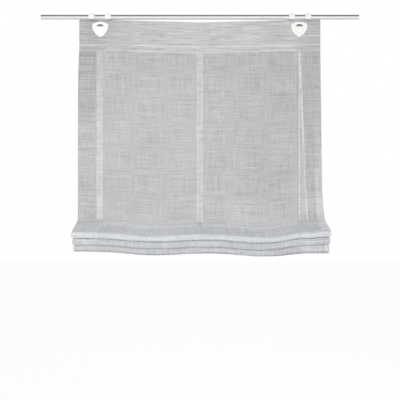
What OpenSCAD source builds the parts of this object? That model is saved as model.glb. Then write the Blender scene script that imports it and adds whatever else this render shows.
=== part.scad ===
// Sheer Roman blind on a slim rod.
// One cloth sheet hangs from two clip-on hooks and is gathered into soft folds at its foot.
// Three tapes with rings are sewn on its back, and a draw cord through each row of rings holds the folds up.
// Millimetres. X runs along the rod, the front faces -Y and Z is up. The origin is mid-rod, on its axis.

/* [Rod] */
// Outside diameter of the rod
rod_d = 16; // [12:1:22]
// Wall of the rod, which is a tube
rod_wall = 1; // [0.8:0.1:2]
// Length of the rod
rod_l = 1050; // [950:10:1600]

/* [Cloth] */
// Finished width of the blind
cloth_w = 800; // [640:10:900]
// Thickness of one layer of cloth
cloth_t = 0.8; // [0.6:0.1:1]
// Gap between the underside of the rod and the top edge of the cloth
top_gap = 0.2; // [0.2:0.2:8]
// Drop from the top edge of the cloth to the first gathered ring
panel_drop = 655; // [520:1:900]
// Depth of the doubled header
header_h = 102; // [80:1:120]
// How far the side hem reaches past the inner edge of its tape
hem_reach = 3.5; // [2:0.5:8]
// Depth of the doubled hem along the bottom edge
bottom_hem = 30; // [15:1:40]
// How far the top edge sags midway between the hooks
top_sag = 8.6; // [0:0.2:14]
// How far each side edge spreads outward at the folds
edge_flare = 4; // [0:0.5:8]

/* [Folds] */
// Number of gathered folds
fold_count = 3; // [1:1:4]
// Cloth length between neighbouring rings, which one fold takes up
ring_spacing = 192; // [180:1:230]
// Radius of the rounded front of each fold
fold_r = 9.5; // [8:0.5:10]
// Vertical pitch of the gathered rings below the first
gather_pitch = 13.5; // [13:0.5:15]
// Radius of the soft turn at the first gathered ring, where the panel runs into the folds
first_turn_r = 14; // [6:1:20]
// Radius of the turn at each ring below it
turn_r = 2.2; // [2:0.1:2.5]
// Angle at which the uppermost fold hangs below the horizontal
droop = 26; // [20:1:32]
// Extra angle for each fold below it
droop_step = 8; // [7.5:0.5:9]
// How far the folds sag midway between two tapes
fold_sag = 11; // [0:0.5:16]
// How far the folds sit lower at the centre tape than at the outer tapes
centre_drop = 6; // [0:0.5:10]
// Length of the flap below the last ring
flap_l = 57; // [50:1:90]

/* [Tapes] */
// Width of a tape
tape_w = 17; // [14:1:22]
// Thickness of a tape
tape_t = 0.8; // [0.6:0.1:1]
// Distance from the side edge of the cloth to the middle of the outer tape
tape_inset = 66; // [50:1:90]
// Length of a tape below the last ring
tape_tail = 8; // [6:0.5:10]
// Gap left between two sewn layers
sewn_gap = 0.2; // [0.15:0.05:0.3]

/* [Rings and cords] */
// Outside diameter of a ring
ring_d = 11; // [10:0.5:14]
// Thickness of a ring's wire
ring_wire = 2.2; // [1.8:0.1:2.6]
// Drop from the lower edge of the header to the uppermost ring
top_ring_drop = 14; // [10:1:30]
// Diameter of a draw cord
cord_d = 1.8; // [1.4:0.1:2.4]
// Diameter of the knot at each end of a cord
knot_d = 9; // [8.5:0.1:10]

/* [Eyelets] */
// Width across the eyelet, a triangle with curved sides and round corners
eyelet_w = 54; // [48:1:60]
// Height of the eyelet
eyelet_h = 50.5; // [46:0.5:58]
// Radius of the eyelet's corners
eyelet_corner = 7; // [5:0.5:11]
// Width of the eyelet's rim around its opening
rim_w = 11; // [8:0.5:12.5]
// Share of the opening's width that its round corners take up
hole_roundness = 0.76; // [0.5:0.02:0.9]
// Thickness of the eyelet's front half
flange_t = 3.4; // [3:0.1:5]
// Width of the sloped edge of the front half
flange_bevel = 1.6; // [1:0.1:2.4]
// Thickness of the eyelet's back half
back_t = 3; // [2.4:0.1:4]
// Wall of the barrel that passes through the cloth
barrel_wall = 1.8; // [1.4:0.1:2.2]
// Gap around the barrel in the back half
barrel_gap = 0.15; // [0.1:0.05:0.3]
// Gap around the barrel in the cloth
cloth_gap = 0.5; // [0.3:0.1:1]
// Drop from the top edge of the cloth to the top of the eyelet
eyelet_drop = 5.6; // [4:0.1:12]

/* [Hooks] */
// Distance from the side edge of the cloth to the middle of the hook and its eyelet
hook_inset = 70; // [60:1:90]
// Thickness of the hook's prongs and plate
hook_t = 3; // [2.5:0.1:4]
// Width of a prong
prong_w = 18.5; // [14:0.5:22]
// Distance between the middles of the two prongs
prong_pitch = 54; // [50:1:62]
// Angle through which a prong wraps the rod, from its back over the top
prong_wrap = 218; // [200:1:225]
// Radius of the rounded lip at the end of a prong
lip_r = 1.9; // [1.6:0.1:2.4]
// Gap between a prong and the rod
prong_gap = 0.15; // [0.1:0.01:0.2]
// Gap around the plug in the eyelet, and between the plate and the eyelet
plug_gap = 0.3; // [0.2:0.05:0.4]
// Width of the notch in the top of the plug
notch_w = 20; // [14:1:22]
// Depth of the notch in the top of the plug
notch_h = 8.5; // [5:0.5:10]
// Radius of a prong's lower corners, seen from the front
prong_round = 3.5; // [2:0.5:6]
// Gap between the rod and the lip at the end of a prong
lip_gap = 0.35; // [0.2:0.05:0.6]
// Depth of the shanks' inner corner below the top edge of the cloth
shank_drop = 4; // [3:0.5:6]

/* [Hidden] */
$fn = 64;
white = [0.97, 0.96, 0.94];
linen = [0.78, 0.78, 0.77];
// Inside and outside radius of the prongs
prong_r1 = rod_d / 2 + prong_gap;
prong_r2 = prong_r1 + hook_t;
// Middle plane of the cloth's front layer, set by what lies between it and the hook's plate
eyelet_back_y = prong_r1 - plug_gap;
header_back_y = eyelet_back_y - back_t;
cloth_y = header_back_y - 1.5 * cloth_t;
header_front_y = cloth_y - cloth_t / 2;
// Heights of the top edge, the header's lower edge and the first gathered ring
cloth_top = -rod_d / 2 - top_gap;
header_z = cloth_top - header_h;
gather_z = cloth_top - panel_drop;
// Positions across the cloth
hook_x = cloth_w / 2 - hook_inset;
tape_x = cloth_w / 2 - tape_inset;
hem_x = tape_x - tape_w / 2 - hem_reach;
// Width across the eyelet's opening, and the radius of its corners
hole_w = eyelet_w - 2 * rim_w;
hole_corner = hole_roundness * hole_w / 2;
// Rise of a curved triangle's upper side above its middle, and the height of the eyelets' middle
function crown(width, corner) = (width - corner - (width - 2 * corner) / sqrt(3)) * eyelet_h / eyelet_w;
eyelet_z = cloth_top - eyelet_drop - crown(eyelet_w, eyelet_corner);
// Run of a fold from its rings to the middle of its rounded front
leg = (ring_spacing - PI * (fold_r + turn_r)) / 2;
// Depth of the rings' centres behind the middle plane of the cloth's front layer, on one and on two layers
ring_y1 = cloth_y + cloth_t / 2 + sewn_gap + tape_t + sewn_gap + ring_d / 2;
ring_y2 = ring_y1 + cloth_t;
// Height of a knot's centre beside the ring it bears on
knot_h = sqrt(pow((knot_d + ring_wire) / 2 + sewn_gap, 2) - pow((ring_d - ring_wire) / 2, 2));

// Steps along the cloth in each part of its path
panel_steps = 7;
front_steps = 12;
turn_steps = 8;

function mix(a, b, t) = a + (b - a) * t;

// Side view of the cloth's front layer, as [y, z] points from the top edge to the bottom edge.
// At each gathered ring the cloth turns round an arc. Between two rings it runs straight out to the rounded
// front of a fold, round that front and straight back. Each straight run is tangent to the arcs at its ends.
function turned(a) = [cos(a), sin(a)];
function ring_z(i) = i == 0 ? gather_z : gather_z - first_turn_r + turn_r - i * gather_pitch;
function bend_r(i) = i == 0 ? first_turn_r : turn_r;
function turn_mid(i) = [cloth_y - bend_r(i), ring_z(i)];
function front_mid(i) = [cloth_y - turn_r, ring_z(i + 0.5)] - leg * turned(droop + i * droop_step);
function heading(a, b) = atan2(b[1] - a[1], b[0] - a[0]);
function lean(a, b, r) = asin(r / norm(b - a));
function run_out(i) = let (a = turn_mid(i), b = front_mid(i))
  heading(a, b) - lean(a, b, bend_r(i) + fold_r);
function run_back(i) = let (a = front_mid(i), b = turn_mid(i + 1))
  heading(a, b) + lean(a, b, turn_r + fold_r);
function turn_from(i) = i == 0 ? 0 : run_back(i - 1) + 90;
function turn_to(i) = i == fold_count ? 0 : run_out(i) + 90;
function turns(i) = i == 0 || i == fold_count ? turn_steps / 2 : turn_steps;
function turn_arc(i, t) = turn_mid(i) + bend_r(i) * turned(mix(turn_from(i), turn_to(i), t));
function front_arc(i, t) = front_mid(i) + fold_r * turned(mix(run_out(i) - 90, run_back(i) - 90, t));

// Half the width of the slope at which a hem's second layer ends
step = cloth_t / 2;
flap_z = ring_z(fold_count) - flap_l;
header_path = [for (t = [0, 0.5]) [cloth_y, mix(cloth_top, header_z, t)]];
step_path = [[cloth_y, header_z + step], [cloth_y, header_z - step]];
panel_path = [for (k = [1 : panel_steps - 1]) [cloth_y, mix(header_z, gather_z, k / panel_steps)]];
function fold_path(i) = concat(
  [for (k = [0 : turns(i)]) turn_arc(i, k / turns(i))],
  [for (k = [0 : front_steps]) front_arc(i, k / front_steps)]);
fold_paths = [for (i = [0 : fold_count - 1]) each fold_path(i)];
last_turn = [for (k = [0 : turns(fold_count)]) turn_arc(fold_count, k / turns(fold_count))];
flap_path = [[cloth_y, ring_z(fold_count) - tape_tail], [cloth_y, flap_z + bottom_hem + step],
  [cloth_y, flap_z + bottom_hem - step], [cloth_y, flap_z]];
above_folds = concat(header_path, step_path, panel_path);
cloth_path = concat(above_folds, fold_paths, last_turn, flap_path);
rows = len(cloth_path);
// Rows at which the header ends, the folds begin and the bottom hem begins
header_row = 2;
fold_row = len(above_folds);
hem_row = rows - 2;

// Direction at right angles to the side view, pointing to the cloth's back
function along(j) = cloth_path[min(j + 1, rows - 1)] - cloth_path[max(j - 1, 0)];
function back_dir(j) = let (d = along(j) / norm(along(j))) [-d[1], d[0]];

// Share of the way from the header down to the folds
function fall(j) = j >= fold_row ? 1 : max(0, (header_z - cloth_path[j][1]) / (header_z - gather_z));
// Sag of the cloth across its width, at the header and at the folds. The header is straight over each eyelet
function head_sag(x) = -top_sag * max(0, 1 - abs(x) / (hook_x - eyelet_w / 2));
function foot_sag(x) = abs(x) >= tape_x ? 0
  : -fold_sag * pow(sin(180 * x / tape_x), 2) - centre_drop * (1 - pow(x / tape_x, 2));
function sag(x, f) = mix(head_sag(x), foot_sag(x), f);
function spread(x, f) = abs(x) <= tape_x + tape_w / 2 ? x
  : x + sign(x) * edge_flare * f * (abs(x) - tape_x - tape_w / 2) / (tape_inset - tape_w / 2);

// A point of the cloth at x, in row j, at a depth behind the front layer's middle plane
function cloth_point(x, j, depth) = let (f = fall(j), b = back_dir(j) * depth, p = cloth_path[j])
  [spread(x, f), p[0] + b[0], p[1] + b[1] + sag(x, f)];

// Columns of the cloth from its middle to the right edge, with one along each edge of a tape and of a hem
inner_gap = hem_x - step - tape_w / 2;
inner_steps = 7;
half_columns = concat(
  [tape_w / 2],
  [for (k = [1 : inner_steps - 1]) tape_w / 2 + inner_gap * k / inner_steps],
  [hem_x - step, hem_x + step, tape_x - tape_w / 2, tape_x + tape_w / 2],
  [mix(tape_x + tape_w / 2, cloth_w / 2, 0.5), cloth_w / 2]);
last = len(half_columns) - 1;
cloth_columns = concat([for (k = [0 : last]) -half_columns[last - k]], half_columns);

// Depth of the cloth's back face, which lies one layer deeper on a hem
function is_doubled(x, j) = j <= header_row || j >= hem_row || abs(x) > hem_x;
function back_depth(x, j) = cloth_t / 2 + (is_doubled(x, j) ? cloth_t : 0);

// A sheet with a front and a back face, from a list of columns and a range of rows
function sheet_front(columns, first, end, depths) =
  [for (j = [first : end], i = [0 : len(columns) - 1]) cloth_point(columns[i], j, depths[j - first][i])];
function quad(a, b, c, d) = [[a, b, c], [a, c, d]];
module sheet(columns, first, end, front_depths, back_depths) {
  n = len(columns);
  m = end - first + 1;
  size = n * m;
  points = concat(
    sheet_front(columns, first, end, front_depths),
    sheet_front(columns, first, end, back_depths));
  front = [for (j = [0 : m - 2], i = [0 : n - 2])
    each quad(j * n + i, j * n + i + 1, (j + 1) * n + i + 1, (j + 1) * n + i)];
  back = [for (f = front) [f[2] + size, f[1] + size, f[0] + size]];
  top = [for (i = [0 : n - 2]) each quad(i, i + size, i + 1 + size, i + 1)];
  foot = [for (i = [0 : n - 2]) let (a = (m - 1) * n + i) each quad(a, a + 1, a + 1 + size, a + size)];
  left = [for (j = [0 : m - 2]) let (a = j * n) each quad(a, a + n, a + n + size, a + size)];
  right = [for (j = [0 : m - 2]) let (a = j * n + n - 1) each quad(a, a + size, a + n + size, a + n)];
  polyhedron(points = points, faces = concat(front, back, top, foot, left, right), convexity = 10);
}

// Lays a flat outline in the plane of the rod's ends, or in the plane of the cloth
module along_x(w) rotate([90, 0, 90]) linear_extrude(w, center = true) children();
module along_y(y1, y2) translate([0, y2, 0]) rotate([90, 0, 0]) linear_extrude(y2 - y1) children();

// Points on an arc from angle a up to, but not including, angle b
function arc(mid, r, a, b, steps) = [for (k = [0 : steps - 1]) mid + r * turned(mix(a, b, k / steps))];

// Outline of a triangle with curved sides and round corners, one corner down, in the eyelet's proportions
module curved_triangle(width, corner) {
  side = width - 2 * corner;
  reach = side / sqrt(3);
  points = [for (a = [-90, 30, 150]) each concat(
    arc(reach * turned(a), corner, a - 30, a + 30, 6),
    arc(reach * turned(a + 240), side + corner, a + 30, a + 90, 8))];
  polygon([for (p = points) [p[0], p[1] * eyelet_h / eyelet_w]]);
}

module rod() color([0.75, 0.75, 0.76]) {
  along_x(rod_l) difference() {
    circle(rod_d / 2);
    circle(rod_d / 2 - rod_wall);
  }
}

// Side view of a prong: a ring open at the lower front, with a rounded lip that turns outward
module prong_outline() {
  far = prong_r2 * 2;
  difference() {
    circle(prong_r2);
    circle(prong_r1);
    polygon([[0, 0], far * turned(prong_wrap), [-far, -far], [far, -far], [far, 0]]);
  }
  translate((rod_d / 2 + lip_gap + lip_r) * turned(prong_wrap)) circle(lip_r);
}

// Front view of a prong, with its lower corners rounded
module prong_front() {
  low = (rod_d / 2 + lip_gap + lip_r) * sin(prong_wrap) - 1.2 * lip_r;
  side = prong_w / 2 - prong_round;
  polygon(concat(
    arc([-side, low + prong_round], prong_round, 180, 270, 6),
    arc([side, low + prong_round], prong_round, 270, 360, 6),
    [[prong_w / 2, low + prong_round], [prong_w / 2, 2 * prong_r2], [-prong_w / 2, 2 * prong_r2]]));
}

// Front view of the plate behind the eyelet: two shanks that run together into a rounded tongue
module plate_outline() {
  outer = (prong_pitch + prong_w) / 2;
  inner = (prong_pitch - prong_w) / 2;
  neck = cloth_top - shank_drop;
  tongue = hole_w / 2;
  right_shank = [[outer, neck], [outer, 0], [inner, 0], [inner, neck]];
  left_shank = [[-inner, neck], [-inner, 0], [-outer, 0], [-outer, neck]];
  polygon(concat(right_shank, left_shank,
    arc([0, eyelet_z], tongue, 180, 360, 12),
    [[tongue, eyelet_z]]));
}

module hook(x) color(white) translate([x, 0, 0]) {
  for (s = [-1, 1]) translate([s * prong_pitch / 2, 0, 0]) intersection() {
    along_x(prong_w + 1) prong_outline();
    along_y(-2 * prong_r2, 2 * prong_r2) prong_front();
  }
  along_y(prong_r1, prong_r2) plate_outline();
  translate([0, 0, eyelet_z]) along_y(header_front_y - flange_t, prong_r1 + hook_t / 2) difference() {
    curved_triangle(hole_w - 2 * plug_gap, hole_corner - plug_gap);
    translate([-notch_w / 2, crown(hole_w, hole_corner) - notch_h]) square([notch_w, hole_w]);
  }
}

module eyelet_front(x) color(white) translate([x, 0, eyelet_z]) difference() {
  union() {
    hull() {
      along_y(header_front_y - flange_t + flange_bevel, header_front_y)
        curved_triangle(eyelet_w, eyelet_corner);
      along_y(header_front_y - flange_t, header_front_y)
        curved_triangle(eyelet_w - 2 * flange_bevel, eyelet_corner - flange_bevel);
    }
    along_y(header_front_y - flange_t / 2, eyelet_back_y)
      curved_triangle(hole_w + 2 * barrel_wall, hole_corner + barrel_wall);
  }
  along_y(header_front_y - 2 * flange_t, 2 * eyelet_back_y) curved_triangle(hole_w, hole_corner);
}

module eyelet_back(x) color(white) translate([x, 0, eyelet_z])
  along_y(header_back_y, eyelet_back_y) difference() {
    curved_triangle(eyelet_w - flange_bevel, eyelet_corner);
    curved_triangle(hole_w + 2 * (barrel_wall + barrel_gap), hole_corner + barrel_wall + barrel_gap);
  }

module cloth() color(linen) difference() {
  sheet(cloth_columns, 0, rows - 1,
    [for (j = [0 : rows - 1]) [for (x = cloth_columns) -cloth_t / 2]],
    [for (j = [0 : rows - 1]) [for (x = cloth_columns) back_depth(x, j)]]);
  for (x = [-hook_x, hook_x]) translate([x, 0, eyelet_z]) along_y(header_front_y - 1, header_back_y + 1)
    curved_triangle(hole_w + 2 * (barrel_wall + cloth_gap), hole_corner + barrel_wall + cloth_gap);
}

// A tape lies on the back of the cloth from the header to just past the last ring
tape_first = header_row + 1;
tape_end = hem_row - 2;
module tape(x) color([0.9, 0.9, 0.89]) {
  columns = [x - tape_w / 2, x + tape_w / 2];
  inner = cloth_t / 2 + sewn_gap + (abs(x) > 0 ? cloth_t : 0);
  sheet(columns, tape_first, tape_end,
    [for (j = [tape_first : tape_end]) [inner, inner]],
    [for (j = [tape_first : tape_end]) [inner + tape_t, inner + tape_t]]);
}

// Heights of the rings on a tape: one below the header, one at each ring spacing, then the gathered ones
function top_ring(x) = header_z - top_ring_drop + sag(x, top_ring_drop / (header_z - gather_z));
function ring_y(x) = abs(x) > 0 ? ring_y2 : ring_y1;
function spare_rings() = floor((header_z - 3 * top_ring_drop - gather_z) / ring_spacing);
module rings(x) color([0.92, 0.92, 0.91]) {
  foot = foot_sag(x);
  heights = concat([top_ring(x)],
    [for (k = [spare_rings() : -1 : 1]) gather_z + foot + k * ring_spacing],
    [for (k = [0 : fold_count]) ring_z(k) + foot]);
  for (z = heights) translate([x, ring_y(x), z]) rotate_extrude()
    translate([(ring_d - ring_wire) / 2, 0]) circle(ring_wire / 2);
}

module draw_cord(x) color([0.95, 0.95, 0.94]) translate([x, ring_y(x), 0]) {
  top = top_ring(x) + knot_h;
  foot = ring_z(fold_count) + foot_sag(x) - knot_h;
  translate([0, 0, foot]) cylinder(d = cord_d, h = top - foot);
  for (z = [foot, top]) translate([0, 0, z]) sphere(d = knot_d);
}

rod();
hook(-hook_x);  // hook_left
hook(hook_x);  // hook_right
eyelet_front(-hook_x);  // eyelet_front_left
eyelet_front(hook_x);  // eyelet_front_right
eyelet_back(-hook_x);  // eyelet_back_left
eyelet_back(hook_x);  // eyelet_back_right
cloth();
tape(-tape_x);  // tape_left
tape(0);  // tape_centre
tape(tape_x);  // tape_right
rings(-tape_x);  // rings_left
rings(0);  // rings_centre
rings(tape_x);  // rings_right
draw_cord(-tape_x);  // draw_cord_left
draw_cord(0);  // draw_cord_centre
draw_cord(tape_x);  // draw_cord_right
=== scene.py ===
# %% [markdown]
# # A sheer Roman blind, dressed piece by piece
# The blind is one half see-through linen sheet. It hangs from a slim rod on two clip-on hooks and
# is drawn up into three soft folds at its foot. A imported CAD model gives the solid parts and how
# they move. This lesson keeps the hard pieces, gives them real finishes, and remakes every soft
# piece in finer detail on the same lines. Lengths are in metres. X runs along the rod, the front
# faces -Y and Z is up.

# %% Load the frame
import bisect
import math

import bmesh
import bpy
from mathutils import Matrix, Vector, noise


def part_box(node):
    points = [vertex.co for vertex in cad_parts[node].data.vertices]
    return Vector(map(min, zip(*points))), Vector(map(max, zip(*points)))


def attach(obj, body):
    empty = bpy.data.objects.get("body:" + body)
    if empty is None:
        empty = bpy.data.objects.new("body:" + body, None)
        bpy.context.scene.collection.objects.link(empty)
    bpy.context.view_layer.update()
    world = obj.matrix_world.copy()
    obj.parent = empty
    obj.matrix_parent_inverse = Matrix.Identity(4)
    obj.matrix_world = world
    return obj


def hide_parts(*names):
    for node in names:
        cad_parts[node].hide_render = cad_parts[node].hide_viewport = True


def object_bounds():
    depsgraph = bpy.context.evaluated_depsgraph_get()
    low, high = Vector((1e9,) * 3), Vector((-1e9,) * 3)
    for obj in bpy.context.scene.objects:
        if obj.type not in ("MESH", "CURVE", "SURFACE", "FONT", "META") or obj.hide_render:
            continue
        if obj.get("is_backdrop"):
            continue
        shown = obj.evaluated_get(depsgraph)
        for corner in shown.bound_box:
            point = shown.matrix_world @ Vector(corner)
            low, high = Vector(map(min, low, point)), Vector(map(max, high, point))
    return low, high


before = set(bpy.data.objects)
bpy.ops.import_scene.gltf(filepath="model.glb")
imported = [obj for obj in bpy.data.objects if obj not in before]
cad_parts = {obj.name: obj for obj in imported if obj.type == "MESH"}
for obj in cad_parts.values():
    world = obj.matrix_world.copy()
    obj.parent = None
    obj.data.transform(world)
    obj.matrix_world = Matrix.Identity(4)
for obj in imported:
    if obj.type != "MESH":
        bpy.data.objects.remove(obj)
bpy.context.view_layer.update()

# %% [markdown]
# ## Where the cloth hangs
# A CAD node is a mesh that already sits where it belongs, so its box tells where a piece is.
# Reading the boxes, in place of typing the numbers again, keeps the cloth in line with the rod,
# hooks and rings that stay as CAD. Only what a box can't say, such as the radius of a turn, is
# written down.

# %% Measures of the cloth
LAYER = 0.0008  # one layer of cloth in CAD
TOP_LIFT = 0.0006  # the sheet starts this far above its CAD solid
HEADER_H = 0.102
HEM_REACH = 0.0035  # how far a side hem goes past its tape
FOLD_COUNT = 3
GATHER_PITCH = 0.0135  # between rings that are drawn together
FIRST_TURN_R = 0.014
TURN_R = 0.0022
RING_WIRE = 0.0022

cloth_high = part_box("cloth")[1]
tape_low, tape_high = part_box("tape_right")
eyelet_low, eyelet_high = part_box("eyelet_front_right")
lowest_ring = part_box("rings_right")[0].z + RING_WIRE / 2
CLOTH_Y = cloth_high.y - 1.5 * LAYER
CLOTH_TOP = cloth_high.z + TOP_LIFT
TAPE_X = (tape_low.x + tape_high.x) / 2
TAPE_W = tape_high.x - tape_low.x
TAPE_EDGE = TAPE_X + TAPE_W / 2
HEM_X = tape_low.x - HEM_REACH
GATHER_Z = lowest_ring + FOLD_COUNT * GATHER_PITCH + FIRST_TURN_R - TURN_R
HEADER_Z = CLOTH_TOP - HEADER_H
print("panel drop", round(CLOTH_TOP - GATHER_Z, 4))
print("side tapes at", round(TAPE_X, 4), "side hems from", round(HEM_X, 4))

# %% [markdown]
# ## Camera
# The photo looks straight at the blind from close by: the folds, which stand out towards the
# camera, look wider than the panel behind them. A level camera keeps upright lines upright. Its
# distance sets how much the folds spread and its lens sets the frame, so both follow from the size
# of one pixel at the cloth.

# %% Camera
PHOTO_PIXELS = 400
PIXEL = 0.00332
VIEW_DISTANCE = 1.5
VIEW_X = 0.0005
VIEW_Z = -0.6048
SENSOR = 36  # millimetres
camera_data = bpy.data.cameras.new("camera")
camera_data.sensor_width = SENSOR
camera_data.lens = SENSOR * VIEW_DISTANCE / (PHOTO_PIXELS * PIXEL)
camera = bpy.data.objects.new("camera", camera_data)
camera.location = (VIEW_X, CLOTH_Y - VIEW_DISTANCE, VIEW_Z)
camera.rotation_euler = (math.pi / 2, 0, 0)
bpy.context.scene.collection.objects.link(camera)
bpy.context.scene.camera = camera
bpy.context.scene.view_settings.view_transform = "Standard"
print("lens", round(camera_data.lens, 2))

# %% [markdown]
# ## Node helpers
# Every finish below is a small tree of shader nodes. A helper that adds one node and plugs in its
# inputs keeps each tree short enough to read as a recipe. A constant goes straight on the shader,
# where other programs can read it.

# %% Node helpers
def finish_of(name, **sockets):
    """A new material, with constant values set on its shader by socket name."""
    material = bpy.data.materials.new(name)
    material.use_nodes = True
    for socket, value in sockets.items():
        shader_of(material).inputs[socket.replace("_", " ")].default_value = value
    return material


def shader_of(material):
    return material.node_tree.nodes["Principled BSDF"]


def add_node(tree, kind, inputs, **settings):
    """One node, with each input set to a value or plugged to a socket."""
    made = tree.nodes.new(kind)
    for key, value in settings.items():
        setattr(made, key, value)
    for key, value in inputs.items():
        if isinstance(value, bpy.types.NodeSocket):
            tree.links.new(value, made.inputs[key])
        else:
            made.inputs[key].default_value = value
    return made


def math_node(tree, operation, a, b=0.0):
    return add_node(tree, "ShaderNodeMath", {0: a, 1: b}, operation=operation).outputs[0]


print("helpers", [helper.__name__ for helper in (finish_of, shader_of, add_node, math_node)])

# %% [markdown]
# ## World
# The blind hangs in a plain white studio. The world shows white to the camera, to mirrors and to
# glass through the Light Path node, and a dimmer light to everything else. One bright world would
# be simpler, but it would flood the pale cloth and wash out its weave.

# %% World
AMBIENT = 0.52
AMBIENT_COLOUR = (0.97, 0.985, 1.0, 1)
WHITE = (1, 1, 1, 1)
world = bpy.data.worlds.new("studio")
bpy.context.scene.world = world
world.use_nodes = True
sky = world.node_tree


def seen_directly(tree):
    """1 for rays that come from the camera, a mirror or glass, else 0."""
    path = add_node(tree, "ShaderNodeLightPath", {}).outputs
    shiny = math_node(tree, "MAXIMUM", path["Is Glossy Ray"], path["Is Transmission Ray"])
    return math_node(tree, "MAXIMUM", path["Is Camera Ray"], shiny)


dim = sky.nodes["Background"]
dim.inputs["Color"].default_value = AMBIENT_COLOUR
dim.inputs["Strength"].default_value = AMBIENT
white = add_node(sky, "ShaderNodeBackground", {"Color": WHITE, "Strength": 1.0})
sky_mix = add_node(sky, "ShaderNodeMixShader",
                   {0: seen_directly(sky), 1: dim.outputs[0], 2: white.outputs[0]})
sky.links.new(sky_mix.outputs[0], sky.nodes["World Output"].inputs["Surface"])
print("ambient", AMBIENT)

# %% [markdown]
# ## Lamps
# Three large area lamps stand for a studio's soft boxes. The key lamp is in front, a little left
# and above. The fill lamp is low in front and opens the shadows under the folds. The last one is
# behind, and lights the back of the cloth. A sun lamp would be simpler, but its hard shadows would
# draw every fold as a black line. The lamps are kept out of reflections, where each would draw a
# white bar along the rod.

# %% Lamps
def soft_lamp(name, place, aim, size, watts):
    data = bpy.data.lights.new(name, "AREA")
    data.size = size
    data.energy = watts
    lamp = bpy.data.objects.new(name, data)
    lamp.location = place
    lamp.rotation_euler = (Vector(aim) - Vector(place)).to_track_quat("-Z", "Y").to_euler()
    lamp.visible_glossy = False
    bpy.context.scene.collection.objects.link(lamp)


soft_lamp("key", place=(-0.7, -2.3, 0.45), aim=(0, 0, -0.45), size=2.0, watts=29)
soft_lamp("fill", place=(0.1, -2.0, -1.3), aim=(-0.1, 0, -0.6), size=1.4, watts=12)
soft_lamp("behind", place=(0.9, 2.4, 0.5), aim=(0, 0, -0.4), size=1.8, watts=20)

# %% [markdown]
# ## Floor
# A pale board far below the blind is the floor. It shows mostly plain white, as the world does, and
# a small share of its own shaded surface, which keeps the blind's shadow. More light on a grey
# board could make it white too, but it would also light the cloth from below. The board is marked
# as stage, so it isn't part of the object.

# %% Floor
FLOOR_Z = -1.9
FLOOR_HALF = 8
FLOOR_GLOW = 0.95


def flat_board(name, centre, half_x, half_y):
    x, y, z = centre
    signs = ((-1, -1), (1, -1), (1, 1), (-1, 1))
    corners = [(x + i * half_x, y + j * half_y, z) for i, j in signs]
    mesh = bpy.data.meshes.new(name)
    mesh.from_pydata(corners, [], [(0, 1, 2, 3)])
    board = bpy.data.objects.new(name, mesh)
    bpy.context.scene.collection.objects.link(board)
    board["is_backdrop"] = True
    return board


floor = flat_board("floor", (0, 0, FLOOR_Z), FLOOR_HALF, FLOOR_HALF)
floor_finish = finish_of("pale_floor", Base_Color=(0.95, 0.95, 0.95, 1), Roughness=0.9)
floor_tree = floor_finish.node_tree
glow = add_node(floor_tree, "ShaderNodeEmission", {"Color": WHITE, "Strength": 1.0})
share = math_node(floor_tree, "MULTIPLY", seen_directly(floor_tree), FLOOR_GLOW)
floor_mix = add_node(floor_tree, "ShaderNodeMixShader",
                     {0: share, 1: shader_of(floor_finish).outputs[0], 2: glow.outputs[0]})
floor_tree.links.new(floor_mix.outputs[0], floor_tree.nodes["Material Output"].inputs["Surface"])
floor.data.materials.append(floor_finish)
print("floor at", FLOOR_Z)

# %% [markdown]
# ## Cards for the rod
# Polished metal looks like what is around it, so in an all-white studio a rod would vanish. Cards
# are the studio's answer. A dark one overhead draws the dark line along the top of the rod, and a
# pale grey one below draws the thin grey line under its highlight. Both are seen by reflections
# alone and throw no shadow.

# %% Cards
CARD_HALF_X = 2.5


def reflected_card(name, centre, half_y, grey):
    """A board that only shows in reflections."""
    card = flat_board(name, centre, CARD_HALF_X, half_y)
    card.data.materials.append(finish_of(name, Base_Color=(grey, grey, grey, 1), Roughness=0.9))
    card.visible_camera = card.visible_diffuse = card.visible_shadow = False


reflected_card("card_above", centre=(0, -0.7, 1.2), half_y=2.1, grey=0.26)
reflected_card("card_below", centre=(0, 0, -1.0), half_y=0.7, grey=0.85)

# %% [markdown]
# ## The path of the cloth, seen from the side
# Seen from the side, the sheet is one long line: straight down from the top edge, then at each
# gathered ring round a small turn, forward and down, round the soft front of a fold and back to the
# next ring, and last a short flap. The cloth could be dropped with a cloth simulation, but the
# cords hold each fold where it is, so a drawn line gives the same shape every time. Each lower fold
# droops more than the one above it.

# %% Fold geometry
def turned(angle):
    return Vector((math.cos(angle), math.sin(angle)))


RING_SPACING = 0.192  # along the cloth
FOLD_R = 0.0107
DROOP = [math.radians(a) for a in (26.0, 33.7, 41.2)]  # of the runs of each fold
LEG = (RING_SPACING - math.pi * (FOLD_R + TURN_R)) / 2


def ring_z(i):
    return GATHER_Z if i == 0 else GATHER_Z - FIRST_TURN_R + TURN_R - i * GATHER_PITCH


def bend_r(i):
    return FIRST_TURN_R if i == 0 else TURN_R


def turn_mid(i):
    """Middle of the turn at a gathered ring."""
    return Vector((CLOTH_Y - bend_r(i), ring_z(i)))


def front_mid(i):
    """Middle of the rounded front of a fold."""
    return Vector((CLOTH_Y - TURN_R, ring_z(i + 0.5))) - LEG * turned(DROOP[i])


print("run of a fold", round(LEG, 4))

# %% [markdown]
# ## Arcs and the runs between them
# Each turn and each front is part of a circle. A run of cloth between two circles touches both, so
# its direction is that of their common tangent. Working it out, in place of drawing a free curve,
# keeps the cloth smooth where an arc meets a run.

# %% Arcs and runs
def tangent(a, b, swing):
    """Direction of a line that touches two circles, about a and b, whose radii add up to swing."""
    way = b - a
    return math.atan2(way.y, way.x) - math.asin(swing / way.length)


def run_out(i):
    return tangent(turn_mid(i), front_mid(i), bend_r(i) + FOLD_R)


def run_back(i):
    return tangent(front_mid(i), turn_mid(i + 1), -TURN_R - FOLD_R)


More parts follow.
